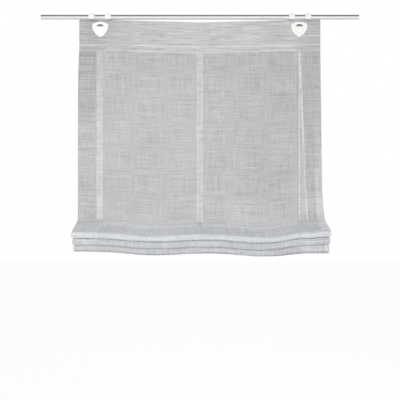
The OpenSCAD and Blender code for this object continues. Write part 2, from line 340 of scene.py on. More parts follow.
def arc(middle, radius, start, end, t):
    return middle + radius * turned(start + (end - start) * t)


def turn_arc(i, t):
    start = 0 if i == 0 else run_back(i - 1) + math.pi / 2
    end = 0 if i == FOLD_COUNT else run_out(i) + math.pi / 2
    return arc(turn_mid(i), bend_r(i), start, end, t)


def front_arc(i, t):
    return arc(front_mid(i), FOLD_R, run_out(i) - math.pi / 2, run_back(i) - math.pi / 2, t)


print("fronts stand out", [round(CLOTH_Y - front_arc(i, 0.5).x, 4) for i in range(FOLD_COUNT)])

# %% [markdown]
# ## Stretches of the line
# A mesh needs points, so the line is cut into steps: long ones down the flat panel and short ones
# where it bends. Even steps would be simpler, but either the bends would show corners or the panel
# would get rows that it doesn't need.

# %% Stretches of the line
PANEL_STEP = 0.008
TURN_STEPS = 8
LEG_STEPS = 12
FRONT_STEPS = 18


def straight(z1, z2):
    """Points down a straight stretch, without its last."""
    count = max(1, round(abs(z2 - z1) / PANEL_STEP))
    return [Vector((CLOTH_Y, z1 + (z2 - z1) * k / count)) for k in range(count)]


def run(a, b):
    """Points along a straight run of a fold, without its last."""
    return [a.lerp(b, k / LEG_STEPS) for k in range(LEG_STEPS)]


def turn(i):
    """Points round a turn, without its last."""
    return [turn_arc(i, k / TURN_STEPS) for k in range(TURN_STEPS)]


def one_fold(i):
    """Points from one gathered ring to the next, without the last."""
    points = turn(i) + run(turn_arc(i, 1), front_arc(i, 0))
    points += [front_arc(i, k / FRONT_STEPS) for k in range(FRONT_STEPS)]
    return points + run(front_arc(i, 1), turn_arc(i + 1, 0))


print("points in a fold", len(one_fold(0)))

# %% [markdown]
# ## The whole line
# The stretches are put end to end, from the top edge to the foot of the flap. Each point is kept
# with its distance along the cloth, because that distance stays the same however the cloth is
# folded. It is how every later step finds a place on the cloth, such as a seam or the front of a
# fold.

# %% The whole line
BOTTOM_HEM = 0.030
FLAP_L = 0.057
EDGE = 0.0008  # a short row along each turned edge
FLAP_TOP = ring_z(FOLD_COUNT)
FLAP_Z = FLAP_TOP - FLAP_L
line = straight(CLOTH_TOP, CLOTH_TOP - EDGE) + straight(CLOTH_TOP - EDGE, HEADER_Z)
line += straight(HEADER_Z, GATHER_Z)
for fold in range(FOLD_COUNT):
    line += one_fold(fold)
line += turn(FOLD_COUNT)
line += straight(FLAP_TOP, FLAP_Z + BOTTOM_HEM) + straight(FLAP_Z + BOTTOM_HEM, FLAP_Z + EDGE)
line += [Vector((CLOTH_Y, FLAP_Z + EDGE)), Vector((CLOTH_Y, FLAP_Z))]
along = [0.0]
for a, b in zip(line, line[1:]):
    along.append(along[-1] + (b - a).length)
CLOTH_L = along[-1]
GATHER_S = CLOTH_TOP - GATHER_Z
CROWN_S = along[line.index(front_arc(0, 0.5))]
FLAP_S = CLOTH_L - FLAP_L
print("rows", len(line), "cloth length", round(CLOTH_L, 4))
print("gathered from", round(GATHER_S, 4), "first front at", round(CROWN_S, 4))

# %% [markdown]
# ## Sag
# The line alone would give a stiff, even blind. On the real one the header hangs in a shallow V
# between its two hooks, and the folds hang in bows between the tapes. The right bow is deeper than
# the left, and its lowest point leans outward. A sum of simple curves is enough for that, and its
# numbers can be read off a photo.

# %% Sag
TOP_SAG = 0.0078
SAG_ROUND = 0.012  # rounds the tip of the V
HEAD_SPAN = eyelet_low.x
FOLD_SAG = {-1: 0.006, 1: 0.011}  # left and right of the middle
BOW_LEAN = {-1: 1.0, 1: 1.4}
CENTRE_DROP = 0.006


def bowl(x, half_span):
    return max(0.0, 1 - (x / half_span) ** 2)


def sag(x, fall):
    """Rise of the cloth at a place across it. fall is 0 at the header and 1 at the folds."""
    head = -TOP_SAG * max(0.0, 1 - math.hypot(x, SAG_ROUND) / HEAD_SPAN)
    foot = 0.0
    if abs(x) < TAPE_X:
        side = 1 if x > 0 else -1
        bow = math.sin(math.pi * (abs(x) / TAPE_X) ** BOW_LEAN[side]) ** 2
        foot = -FOLD_SAG[side] * bow - CENTRE_DROP * bowl(x, TAPE_X)
    return head * (1 - fall) + foot * fall


print("sag of the header", round(sag(0, 0), 4))
print("sag of the bows", round(sag(-TAPE_X / 2, 1), 4), round(sag(TAPE_X / 2, 1), 4))

# %% [markdown]
# ## Side edges
# Past the side tapes nothing holds the cloth, so its edges wander. The left edge steps out just
# under the header and the right one flares more and more towards the folds. The ends of the folds
# are drawn in, each a little more than the one above and most on its underside, which shows the
# stack as three separate lips. The edges could be pulled by hand in sculpt mode, but then hems and
# stitches wouldn't follow them.

# %% Side edges
HALF_W = 0.400
EDGE_FLARE = {-1: (0.0042, 0.0, 0.001), 1: (0.0, 0.0068, 0.007)}  # early, even and late
EARLY_POWER, LATE_POWER = 8, 12
FOLD_DRAW_IN = 0.0018
UNDER_DRAW_IN = 0.0035
FRONT = 0.5  # where a front lies, as a share of its fold
UNDER_IN, UNDER_OUT, UNDER_END = 0.09, 0.25, 0.75


def smooth(t):
    """0 up to 0 and 1 from 1, with a soft start and end."""
    t = min(1.0, max(0.0, t))
    return t * t * (3 - 2 * t)


def flare(side, fall):
    """How far a side edge stands out: under the header, evenly down the panel and at the folds."""
    early, even, late = EDGE_FLARE[side]
    return early * (1 - (1 - fall) ** EARLY_POWER) + even * fall + late * fall ** LATE_POWER


def draw_in(s):
    """How far the ends of the folds are drawn in."""
    turns = min(FOLD_COUNT, max(0.0, (s - CROWN_S) / RING_SPACING + FRONT))
    share = turns % 1
    under = smooth((share - FRONT) / UNDER_IN) * (1 - smooth((share - UNDER_END) / UNDER_OUT))
    return FOLD_DRAW_IN * turns + UNDER_DRAW_IN * under


def past_tape(x):
    """0 up to the outer edge of a side tape and 1 at the side of the cloth."""
    return max(0.0, (abs(x) - TAPE_EDGE) / (HALF_W - TAPE_EDGE))


print("right edge stands out", [round(flare(1, k / 4), 4) for k in range(5)])

# %% [markdown]
# ## Slack and creases
# A little smooth noise, which is the same on every run, gives the slack that real cloth has. It
# fades out in the stiff header and at the tapes, where the rings hold the cloth. In the folds a
# finer noise makes small creases, and one crease is pinched into the right bow. A sculpted mesh
# could do this too, but not from a few numbers.

# %% Slack and creases
BELLY, RIPPLE = 0.0030, 0.0011
CREASE, FINE_CREASE = 0.0007, 0.0003
STIFF_S, LOOSEN = 0.065, 0.12  # where the header stops being stiff, and over what length
DRAWN_UP, DRAWN_SHARE = 0.06, 0.9  # the cloth is drawn up to the folds over this length, by this share
FLAT_END = 0.03
FREE_W = 0.07
PINCH, PINCH_X, PINCH_W = 0.0022, 0.203, 0.008
PINCH_ABOVE, PINCH_BELOW, PINCH_SOFT = 0.06, 0.03, 0.04


def ripple(x, s, per_x, per_s, layer):
    """Smooth noise over the cloth, from about -1 to 1."""
    return noise.noise((x * per_x, s * per_s, layer))


def freedom(x):
    """0 at a tape and 1 well away from every tape."""
    return min(smooth((abs(x - t) - TAPE_W / 2) / FREE_W) for t in (-TAPE_X, 0.0, TAPE_X))


def pinch(x, s):
    """One crease in the right bow, from above the first front to just below it."""
    start = smooth((s - CROWN_S + PINCH_ABOVE) / PINCH_SOFT)
    end = smooth((CROWN_S + PINCH_BELOW - s) / PINCH_BELOW)
    return PINCH * math.exp(-((x - PINCH_X) / PINCH_W) ** 2) * start * end


def slack(x, s):
    """How far the cloth bellies out of its line, towards its back."""
    wide = ripple(x, s, 5.0, 2.2, 3.7) * BELLY + ripple(x, s, 13.0, 7.0, 9.1) * RIPPLE
    drawn = DRAWN_SHARE * smooth((s - GATHER_S + DRAWN_UP) / DRAWN_UP)
    loose = smooth((s - STIFF_S) / LOOSEN) * (1 - drawn)
    small = ripple(x, s, 26.0, 11.0, 6.3) * CREASE + ripple(x, s, 60.0, 24.0, 1.7) * FINE_CREASE
    creased = smooth((s - GATHER_S) / DRAWN_UP) * smooth((FLAP_S - s) / FLAT_END)
    return wide * freedom(x) * loose + small * creased + pinch(x, s)


print("slack at mid panel", round(slack(0.17, 0.3), 5))

# %% [markdown]
# ## Rise and fall of the folds
# Folds that are drawn up by hand don't stay level. All three share one loose wave between the
# tapes, and each has a trace of its own. At the right end the first fold rides up and the last one
# hangs lower, so the stack opens like a fan there. A cloth simulation would give a wave of its own
# liking, and this one is put where the real folds have it.

# %% Rise and fall
GATHERED = 0.08  # length over which the wave sets in
SHARED_WAVE, OWN_WAVE = 0.0022, 0.0002
LOW_END, LOW_X, LOW_W = 0.006, 0.2, 0.1
LOW_TURN, LOW_TURNS = 1.85, 0.25  # folds past the first front where it begins, and over how many
LOW_OUT = 0.05
HIGH_END, HIGH_W = 0.0045, 0.045


def fold_wave(x, s):
    """How far the folds rise above their line."""
    gathered = smooth((s - GATHER_S + GATHERED) / GATHERED)
    fold = math.floor((s - GATHER_S) / RING_SPACING)
    own = ripple(x, fold, 7.0, 3.1, 5.5) * OWN_WAVE if 0 <= fold < FOLD_COUNT else 0.0
    wave = gathered * freedom(x) * (ripple(x, 1.3, 6.0, 1.0, 2.9) * SHARED_WAVE + own)
    turns = (s - CROWN_S) / RING_SPACING
    last = smooth((turns - LOW_TURN) / LOW_TURNS) * smooth((FLAP_S - s) / LOW_OUT)
    first = gathered * max(0.0, 1 - max(0.0, s - CROWN_S) / (2 * RING_SPACING))
    low = last * LOW_END * smooth((x - LOW_X) / LOW_W)
    return wave - low + first * HIGH_END * smooth((x - TAPE_EDGE) / HIGH_W)


right_end = [fold_wave(HALF_W, CROWN_S + i * RING_SPACING) for i in range(FOLD_COUNT)]
print("fronts at the right end rise by", [round(v, 4) for v in right_end])

# %% [markdown]
# ## From the line to the sheet
# A place on the cloth is a distance across it, a distance along it and a depth behind its front
# face. One function turns that into a point in space, so the sheet, its hems, the tapes and every
# stitch follow the same folds. Modelling each piece by itself would leave gaps wherever two of them
# meet.

# %% A point of the cloth
REACH = 0.05  # how much the folds vary in how far they stand out


def line_at(s):
    """Point and direction of the side view at a distance along the cloth, and the share of the fall."""
    k = min(len(line) - 2, max(0, bisect.bisect_right(along, s) - 1))
    t = (s - along[k]) / (along[k + 1] - along[k])
    point = line[k].lerp(line[k + 1], t)
    before = line[k + 1] - line[max(0, k - 1)]
    after = line[min(len(line) - 1, k + 2)] - line[k]
    way = before.normalized().lerp(after.normalized(), min(1.0, max(0.0, t))).normalized()
    fall = 1.0 if s >= GATHER_S else max(0.0, (HEADER_Z - point.y) / (HEADER_Z - GATHER_Z))
    return point, way, fall


def cloth_at(x, s, depth=0.0):
    """The point in space of a place on the cloth."""
    point, way, fall = line_at(s)
    push = depth + slack(x, s)
    reach = 1.0 + REACH * freedom(x) * ripple(x, 7.7, 4.5, 1.0, 0.4) if s > GATHER_S else 1.0
    y = CLOTH_Y + (point.x - CLOTH_Y) * reach - way.y * push
    side = 1 if x > 0 else -1
    out = side * past_tape(x) * (flare(side, fall) - draw_in(s))
    return Vector((x + out, y, point.y + way.x * push + sag(x, fall) + fold_wave(x, s)))


print("foot of the cloth", [round(v, 4) for v in cloth_at(0, CLOTH_L)])

# %% [markdown]
# ## A grid of faces
# The sheet is woven in one piece, so its mesh is a plain grid over the places of the cloth. The
# columns lie a little closer at the tapes and hems. Each vertex also keeps its place on the cloth
# as an attribute called weave: the finish reads it later, so the threads follow the cloth round
# every fold.

# %% Grid helper
PANEL_COLUMN, SEAM_COLUMN, HEM_COLUMN = 0.0062, 0.004, 0.0055


def columns_between(x1, x2, step):
    count = max(1, round(abs(x2 - x1) / step))
    return [x1 + (x2 - x1) * k / count for k in range(count)]


half = [0.0, TAPE_W / 2] + columns_between(TAPE_W / 2, HEM_X, PANEL_COLUMN)[1:]
half += columns_between(HEM_X, TAPE_X, SEAM_COLUMN)
half += columns_between(TAPE_X, HALF_W - EDGE, HEM_COLUMN) + [HALF_W - EDGE, HALF_W]
cloth_columns = [-x for x in half[:0:-1]] + half


def grid(mesh, place, xs, rows, depth):
    """Adds a grid of faces to a bmesh, and keeps each point's place on the cloth."""
    made = []
    for s in rows:
        made.append([])
        for x in xs:
            vertex = mesh.verts.new(cloth_at(x, s, depth))
            vertex[place] = (x, s, depth)
            made[-1].append(vertex)
    for r1, r2 in zip(made, made[1:]):
        join(mesh, r1, r2)
    return made


def join(mesh, r1, r2):
    """Faces between two rows of points."""
    for k in range(len(r1) - 1):
        mesh.faces.new((r1[k], r2[k], r2[k + 1], r1[k + 1]))


print("columns", len(cloth_columns), "rows", len(along))

# %% [markdown]
# ## The sheet and its hems
# The sides, top and bottom of the sheet are turned to the back as hems, so there the light has to
# pass two layers and the cloth looks denser. The sheet is a single skin of faces: a thin linen has
# no thickness that shows, and a second skin would hide twice as much of what is behind. Each hem is
# a second skin just behind the first, joined to it along the turned edge.

# %% Sheet and hems
SIDE_DEPTH = 0.0005
END_DEPTH = 0.0010
ROUND = 0.0003  # how far a turned edge bulges
TINY = 1e-6
cloth_mesh = bmesh.new()
place = cloth_mesh.verts.layers.float_vector.new("weave")
main = grid(cloth_mesh, place, cloth_columns, along, 0.0)


def turned_edge(edge, depth, side_x=None, end_s=None):
    """One row of points that rounds a turned edge between the front skin and the hem."""
    made = []
    for vertex in edge:
        x, s, _ = vertex[place]
        x, s = x if side_x is None else side_x, s if end_s is None else end_s
        made.append(cloth_mesh.verts.new(cloth_at(x, s, depth / 2)))
        made[-1][place] = (x, s, depth / 2)
    return made


def join_hem(edge, rounding, hem_edge):
    join(cloth_mesh, edge, rounding)
    join(cloth_mesh, rounding, hem_edge)


for side in (-1, 1):
    xs = [x for x in cloth_columns if x * side >= HEM_X - TINY]
    hem = grid(cloth_mesh, place, xs, along, SIDE_DEPTH)
    outer = -1 if side > 0 else 0
    edge, hem_edge = ([row[outer] for row in skin] for skin in (main, hem))
    join_hem(edge, turned_edge(edge, SIDE_DEPTH, side_x=side * (HALF_W + ROUND)), hem_edge)
ends = (([s for s in along if s <= HEADER_H + TINY], 0, -ROUND),
        ([s for s in along if s >= CLOTH_L - BOTTOM_HEM - TINY], -1, CLOTH_L + ROUND))
for rows, end, past in ends:
    hem = grid(cloth_mesh, place, cloth_columns, rows, END_DEPTH)
    join_hem(main[end], turned_edge(main[end], END_DEPTH, end_s=past), hem[end])
print("cloth faces", len(cloth_mesh.faces))

# %% [markdown]
# ## The outline of an eyelet
# Each eyelet is a rounded triangle with curved sides, one corner down, and clamps the header round
# a hole. The hole's outline is worked out as the CAD does it, from the width and the radius of the
# corners, and kept as a distance from the middle for each degree. That makes it quick to ask
# whether a point is inside.

# %% Eyelet outline
HOOK_X = (eyelet_low.x + eyelet_high.x) / 2
EYELET_W = eyelet_high.x - eyelet_low.x
EYELET_SQUAT = (eyelet_high.z - eyelet_low.z) / EYELET_W
EYELET_CORNER = 0.007
OPENING_W = 0.032
OPENING_CORNER = 0.0122
BARREL = 0.0023


def crown(width, corner):
    """Height of a curved triangle's upper side above its middle."""
    return (width - corner - (width - 2 * corner) / math.sqrt(3)) * EYELET_SQUAT


EYELET_Z = eyelet_high.z - crown(EYELET_W, EYELET_CORNER)


def pick_outline(width, corner, count=60):
    """Points of a triangle with curved sides and round corners, one corner down."""
    side = width - 2 * corner
    steps = [60 * k / count for k in range(count)]
    points = []
    for a in (-90, 30, 150):
        near, far = (side / math.sqrt(3) * turned(math.radians(b)) for b in (a, a + 240))
        points += [near + corner * turned(math.radians(a - 30 + step)) for step in steps]
        points += [far + (side + corner) * turned(math.radians(a + 30 + step)) for step in steps]
    return [Vector((p.x, p.y * EYELET_SQUAT)) for p in points]


hole = {round(math.degrees(math.atan2(p.y, p.x))) % 360: p.length
        for p in pick_outline(OPENING_W + 2 * BARREL, OPENING_CORNER + BARREL)}
print("eyelets at", round(EYELET_Z, 4), "hole reaches", round(max(hole.values()), 4))

# %% [markdown]
# ## The holes in the header
# Cutting the holes with a boolean would leave slivers on a fine grid. So the faces inside each
# outline are deleted, and the ragged rim that they leave is drawn onto the outline. The eyelet's
# flange covers the rim.

# %% Eyelet holes
RIM_REACH = 0.6 * EYELET_W


def from_eyelet(point, x):
    return Vector((point.x - x, point.z - EYELET_Z))


def hole_edge(offset):
    """Distance from the middle of an eyelet to its hole's outline, in the direction of an offset."""
    degree = round(math.degrees(math.atan2(offset.y, offset.x))) % 360
    return hole.get(degree) or hole.get((degree + 1) % 360) or hole[(degree - 1) % 360]


for x in (-HOOK_X, HOOK_X):
    inside = []
    for face in cloth_mesh.faces:
        offset = from_eyelet(face.calc_center_median(), x)
        if offset.length < EYELET_W and offset.length < hole_edge(offset):
            inside.append(face)
    bmesh.ops.delete(cloth_mesh, geom=inside, context="FACES")
    for vertex in cloth_mesh.verts:
        offset = from_eyelet(vertex.co, x)
        if vertex.is_boundary and offset.length < RIM_REACH:
            offset = offset.normalized() * hole_edge(offset)
            vertex.co.x, vertex.co.z = x + offset.x, EYELET_Z + offset.y
print("faces left", len(cloth_mesh.faces))

# %% [markdown]
# ## From a mesh to a piece
# Every soft piece is built as a bmesh, Blender's editable mesh, and ends the same way: its faces
# are turned to agree, it becomes an object with a finish, and it is told which body it moves with.
# One function does that.

# %% Pieces that hang with the blind
def object_from(bm, name, finish):
    """Turns a bmesh into a smooth piece that hangs with the blind."""
    bmesh.ops.recalc_face_normals(bm, faces=bm.faces)
    mesh = bpy.data.meshes.new(name)
    bm.to_mesh(mesh)
    bm.free()
    mesh.shade_smooth()
    mesh.materials.append(finish)
    piece = bpy.data.objects.new(name, mesh)
    bpy.context.scene.collection.objects.link(piece)
    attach(piece, "blind")
    return piece


# %% [markdown]
# ## Linen threads
# Slubs are thick places in the yarn. They make streaks across the cloth and fainter ones down it,
# which is what the eye reads as linen. An image of cloth would repeat, so both are stretched noise
# on the cloth's own coordinates, and they bend with the folds. Two coarse layers are the slubs, two
# fine ones are the single yarns, and a faint cloud keeps the cloth from being even.

# %% Linen threads
linen = finish_of("sheer_linen", Roughness=0.9, Sheen_Weight=0.12, Sheen_Roughness=0.5)
weave = linen.node_tree
cloth_place = add_node(weave, "ShaderNodeAttribute", {}, attribute_name="weave").outputs["Vector"]


def grain(tree, place, scale, detail=2.0):
    """Noise on a place, stretched by its scale: about how many specks to a metre on each axis."""
    mapped = add_node(tree, "ShaderNodeMapping", {"Vector": place, "Scale": scale})
    look = {"Vector": mapped.outputs[0], "Scale": 1.0, "Detail": detail, "Roughness": 0.6}
    return add_node(tree, "ShaderNodeTexNoise", look).outputs["Fac"]


def total(*shares):
    """Sum of sockets of the linen, each times its share."""
    parts = [math_node(weave, "MULTIPLY", value, share) for value, share in shares]
    while len(parts) > 1:
        parts.append(math_node(weave, "ADD", parts.pop(0), parts.pop(0)))
    return parts[0]


weft = grain(weave, cloth_place, (9, 290, 0), 3.0)
warp = grain(weave, cloth_place, (270, 12, 0), 3.0)
yarn_across = grain(weave, cloth_place, (35, 1100, 0))
yarn_down = grain(weave, cloth_place, (1100, 35, 0))
cloudy = grain(weave, cloth_place, (7, 6, 0), 1.0)
dense = total((weft, 0.29), (warp, 0.21), (yarn_across, 0.26), (yarn_down, 0.18),
              (cloudy, 0.06))
print("linen nodes so far", len(weave.nodes))

# %% [markdown]
# ## Where the linen is paler
# White cotton behind the cloth, a seam or several layers make the linen paler, and painted light
# and shade make it paler or darker in the folds and in broad ramps. Each such place is a mask from
# 0 to 1 on the cloth's coordinates: across it, down it, or both. Painting the masks as vertex
# colours would need a far finer mesh, because a seam is only 4 mm wide. The next cells make the
# masks, and then one cell adds them up.

# %% Mask helpers
place_axes = add_node(weave, "ShaderNodeSeparateXYZ", {0: cloth_place}).outputs
across, down = place_axes[0], place_axes[1]
width_across = math_node(weave, "ABSOLUTE", across)


def remap(tree, value, low, high, start=0.3, end=0.7):
    """value, from start to end, carried over to low and high. Noise lies mostly from 0.3 to 0.7."""
    limits = {"Value": value, "From Min": start, "From Max": end, "To Min": low, "To Max": high}
    return add_node(tree, "ShaderNodeMapRange", limits).outputs[0]


def fade_in(value, start, end):
    """0 before start and 1 after end."""
    return remap(weave, value, 0.0, 1.0, start, end)


def fade_out(value, start, end):
    """1 before start and 0 after end."""
    return remap(weave, value, 1.0, 0.0, start, end)


def band(value, centre, half_width, fade=0.0012):
    """1 on a band, fading to 0 at its edges."""
    away = math_node(weave, "ABSOLUTE", math_node(weave, "SUBTRACT", value, centre))
    return fade_out(away, half_width - fade, half_width + fade)


def both(*masks):
    """1 where every mask is 1."""
    result = masks[0]
    for mask in masks[1:]:
        result = math_node(weave, "MULTIPLY", result, mask)
    return result


print("masks run from 0 to", round(CLOTH_L, 4), "down the cloth")

# %% [markdown]
# ## Header, hems and seams
# The header and the side hems are doubled, and two rows of stitches cross the header: one where it
# is sewn shut and one along its lower edge. A mask is sharp where the cloth ends in a turned edge,
# and soft where only the light changes. The right hem grows paler towards the folds, where it curls
# to the light.

# %% Header, hems and seams
STITCH_LINE = 0.0822
HEM_LINE = HEADER_H - 0.0015
SEAM_HALF = 0.0018
SHARP, SOFT = 0.001, 0.012
PANEL_START, PANEL_END = (HEADER_H - SHARP, HEADER_H + SHARP), (GATHER_S + 0.003, GATHER_S + 0.015)
OUTER_START, OUTER_END = (0.26, 0.62), (CROWN_S - 0.030, CROWN_S - 0.012)
OUTER_W, OUTER_FADE = 0.020, 0.002
in_header = fade_out(down, *PANEL_START)
on_panel = both(fade_in(down, *PANEL_START), fade_out(down, *PANEL_END))
in_side_hem = fade_in(width_across, HEM_X - SHARP, HEM_X + SHARP)
between_hems = band(across, 0.0, HEM_X, SOFT)
header = both(in_header, between_hems)
header_seam = band(down, STITCH_LINE, SEAM_HALF)
hem_seam = both(band(down, HEM_LINE, SEAM_HALF), band(across, 0.0, HEM_X))
outer_hem = both(band(across, HALF_W, OUTER_W, OUTER_FADE), fade_in(down, *OUTER_START),
                 fade_out(down, *OUTER_END))
print("stitch lines at", STITCH_LINE, HEM_LINE)

# %% [markdown]
# ## Left and middle tape, seen through the cloth
# A white tape behind sheer cloth shows as a pale stripe, with a brighter line at each row of
# stitches and one for the cord between them. The alpha of the linen lets the tape itself through,
# but only faintly, because so little light passes the weave. So the shade of the linen carries the
# stripe. A mottle breaks it up, since the tape lies closer to the cloth in some places than in
# others.

# %% Left and middle tape
TAPE_SEAM = TAPE_W / 2 - 0.0018  # from a tape's middle to its stitches
CORD_LINE = 0.0005
CENTRE_HALF = 0.0098
LINE_HALF = 0.0016
left_tape = band(across, -(HEM_X + TAPE_EDGE) / 2, (TAPE_EDGE - HEM_X) / 2)
centre_tape = band(across, 0.0, CENTRE_HALF)
lines_at = [x + d for x in (-TAPE_X, 0.0) for d in (-TAPE_SEAM, CORD_LINE, TAPE_SEAM)]
tape_lines = total(*((band(across, x, LINE_HALF), 1.0) for x in lines_at))
mottle = remap(weave, grain(weave, cloth_place, (25, 70, 0)), 0.6, 1.4)
print("lines at", [round(x, 4) for x in lines_at])

# %% [markdown]
# ## Right tape, seen through the cloth
# The right tape shows askew: one seam runs straight down while the other slants away from it and
# gets fainter. Taking a share of the distance down from the distance across gives a coordinate that
# slants, on which the line is a plain upright band again.

# %% Right tape
RIGHT_SLANT = 0.0414
RIGHT_SEAM_X = TAPE_X - 0.0035
RIGHT_EDGE_X = TAPE_X - 0.0026
RIGHT_HALF = 0.0022
RIGHT_BRIGHT, RIGHT_FAINT, RIGHT_FADES = 0.24, 0.12, (0.33, 0.46)
STRAIGHT_SHARE = 0.17
slant = math_node(weave, "MULTIPLY", math_node(weave, "SUBTRACT", down, HEADER_H), RIGHT_SLANT)
upright = math_node(weave, "SUBTRACT", across, slant)
right_seam = math_node(weave, "MULTIPLY", band(across, RIGHT_SEAM_X, RIGHT_HALF), STRAIGHT_SHARE)
right_edge = both(band(upright, RIGHT_EDGE_X, RIGHT_HALF),
                  remap(weave, down, RIGHT_BRIGHT, RIGHT_FAINT, *RIGHT_FADES))
right_lines = math_node(weave, "MAXIMUM", right_edge, right_seam)
right_band = both(fade_in(across, RIGHT_SEAM_X - SHARP, RIGHT_SEAM_X + SHARP),
                  fade_out(upright, RIGHT_EDGE_X - SHARP, RIGHT_EDGE_X + SHARP))
tapes_seen = both(on_panel, total((left_tape, 0.105), (centre_tape, 0.135), (tape_lines, 0.06),
                                  (right_lines, 1.15), (right_band, 0.04)), mottle)
print("seams part by", round(RIGHT_SLANT * (GATHER_S - HEADER_H), 4))

# %% [markdown]
# ## Folds
# In the folds, layers lie behind each other and pass light back and forth, so the stack is painted
# paler than the panel. The rounded fronts catch the most light and get a painted highlight. A cosine
# with one wave to a fold finds all three fronts at once. The cloth tucked in behind a front gets
# some light back from its neighbours, painted as a paler tone. The lower folds get painted shade,
# and the underside of the last fold faces down, away from the key lamp, so it is painted darker.

# %% Folds
LIP_S = CROWN_S - 0.004  # the part of the first front that faces the camera
LAST_LIP_S = LIP_S + (FOLD_COUNT - 1) * RING_SPACING
STACK_START, STACK_END = (GATHER_S + 0.004, GATHER_S + 0.030), (FLAP_S - 0.020, FLAP_S + 0.004)
FRONT_RAMP = (0.93, 0.98)
LOWER_START = (CROWN_S + 0.030, CROWN_S + 0.120)
TUCK_START, TUCK_END = (CROWN_S + 0.002, CROWN_S + 0.008), (LAST_LIP_S + 0.002, LAST_LIP_S + 0.008)
UNDER_START = (LAST_LIP_S + 0.001, LAST_LIP_S + 0.007)
pitch = 2 * math.pi / RING_SPACING
beat = math_node(weave, "MULTIPLY", math_node(weave, "SUBTRACT", down, LIP_S), pitch)
front_of_fold = fade_in(math_node(weave, "COSINE", beat), *FRONT_RAMP)
behind_front = math_node(weave, "SUBTRACT", 1.0, front_of_fold)
above_flap = fade_out(down, *STACK_END)
# painted light: the stack of folds is paler
in_folds = both(above_flap, fade_in(down, *STACK_START))
# painted highlight on the fronts of the folds
crowns = both(in_folds, front_of_fold)
# painted shade on the lower folds
shaded_lower_folds = both(above_flap, fade_in(down, *LOWER_START))
# painted light on the cloth tucked behind a front
tucked = both(fade_out(down, *TUCK_END), fade_in(down, *TUCK_START), behind_front)
# painted shade under the last fold
last_underside = both(above_flap, fade_in(down, *UNDER_START))
print("fronts at", [round(LIP_S + i * RING_SPACING, 4) for i in range(FOLD_COUNT)])

# %% [markdown]
# ## Bellies
# Just above the first front, the cloth between two tapes leans out and catches more light than the
# cloth at the tapes. The lamps give some of that, but less than thin cloth shows, because light
# also comes through it from behind. A soft mask adds the rest.

# %% Bellies
BELLY_X, BELLY_W, BELLY_FADE = 0.55 * TAPE_X, 0.10, 0.04
BELLY_START, BELLY_END = (GATHER_S - 0.03, GATHER_S + 0.01), (LIP_S - 0.016, LIP_S - 0.006)
belly = both(band(width_across, BELLY_X, BELLY_W, BELLY_FADE), fade_in(down, *BELLY_START),
             fade_out(down, *BELLY_END))
print("bellies", round(BELLY_X, 4), "from the middle")

# %% [markdown]
# ## Uneven tone
# Under the header the panel is a trace darker, and so are its right half and the top of the left
# hem, while the lower part of the left hem is a trace paler. The header grows paler from left to
# right. The foot of the panel grows paler towards the right, painted light where the folds throw
# light up. Broad, soft ramps do that and leave no edge to see.

# %% Uneven tone
HEM_DARK, HEM_PALE, HEM_RAMP = -0.06, 0.035, (0.15, 0.34)
UPPER_RAMP, LOWER_RAMP = (HEADER_H, 0.32), (0.29, 0.49)
RIGHT_RAMP = (0.02, 0.20)
FOOT_RAMP, FOOT_LEFT, FOOT_WIDTH = (0.57, 0.61), 0.3, (-0.10, 0.10)
HEADER_LEFT, HEADER_RIGHT = (-0.29, -0.17), (HEM_X - 0.010, HEM_X + 0.020)
left_hem = fade_out(across, -HEM_X - SHARP, -HEM_X + SHARP)
left_hem_tone = both(left_hem, on_panel, remap(weave, down, HEM_DARK, HEM_PALE, *HEM_RAMP))
upper_panel = both(on_panel, between_hems, fade_out(down, *UPPER_RAMP))
lower_half = both(on_panel, fade_in(down, *LOWER_RAMP))
right_half = both(on_panel, between_hems, fade_in(across, *RIGHT_RAMP))
# painted light: the foot of the panel is paler towards the right, where the folds throw light up
right_foot = both(on_panel, fade_in(down, *FOOT_RAMP), remap(weave, across, FOOT_LEFT, 1.0, *FOOT_WIDTH))
header_left = both(header, fade_out(across, *HEADER_LEFT))
header_right = both(in_header, fade_in(across, *HEADER_RIGHT))
uneven = total((left_hem_tone, 1.0), (upper_panel, -0.03), (right_half, -0.024), (right_foot, 0.040),
               (header_left, -0.055), (header_right, 0.050))
print("mask nodes", len(weave.nodes))

# %% [markdown]
# ## Shade of the linen
# All the masks add up to one shade of grey, from which dense yarn takes a little: more where two
# layers of threads lie on each other and more in the folds. In the header the slubs run across, so
# the streaks of the weft are made stronger there and those of the warp weaker. Each share says how
# much paler, or darker, its mask makes the cloth.

# %% Shade of the linen
PANEL_GREY = 0.453
SINGLE_YARN, DOUBLED_YARN, FOLD_YARN = 1.26, 1.75, 0.8
MEAN_YARN = 0.5
# the shares for the bellies, the folds, their fronts, tucked cloth, the lower folds, the last underside,
# the outer hem and the foot of the panel are painted light and shade
paler = total((header, 0.118), (header_seam, 0.125), (hem_seam, 0.105), (in_side_hem, 0.032),
              (outer_hem, 0.13), (tapes_seen, 1.0), (belly, 0.05), (in_folds, 0.185), (crowns, 0.055),
              (tucked, 0.14), (shaded_lower_folds, -0.10), (last_underside, -0.16), (uneven, 1.0))
doubled = math_node(weave, "MAXIMUM", in_header, in_side_hem)
layers_of_yarn = remap(weave, doubled, SINGLE_YARN, DOUBLED_YARN, 0.0, 1.0)
depth_of_yarn = total((layers_of_yarn, 1.0), (in_folds, FOLD_YARN))
streaks = total((weft, 0.15), (warp, -0.16), (yarn_across, 0.08), (yarn_down, -0.07))
seen_yarn = math_node(weave, "ADD", dense, both(in_header, streaks))
yarn = both(math_node(weave, "SUBTRACT", seen_yarn, MEAN_YARN), depth_of_yarn)
shade = math_node(weave, "SUBTRACT", math_node(weave, "ADD", paler, PANEL_GREY), yarn)
print("grey of the panel", PANEL_GREY)

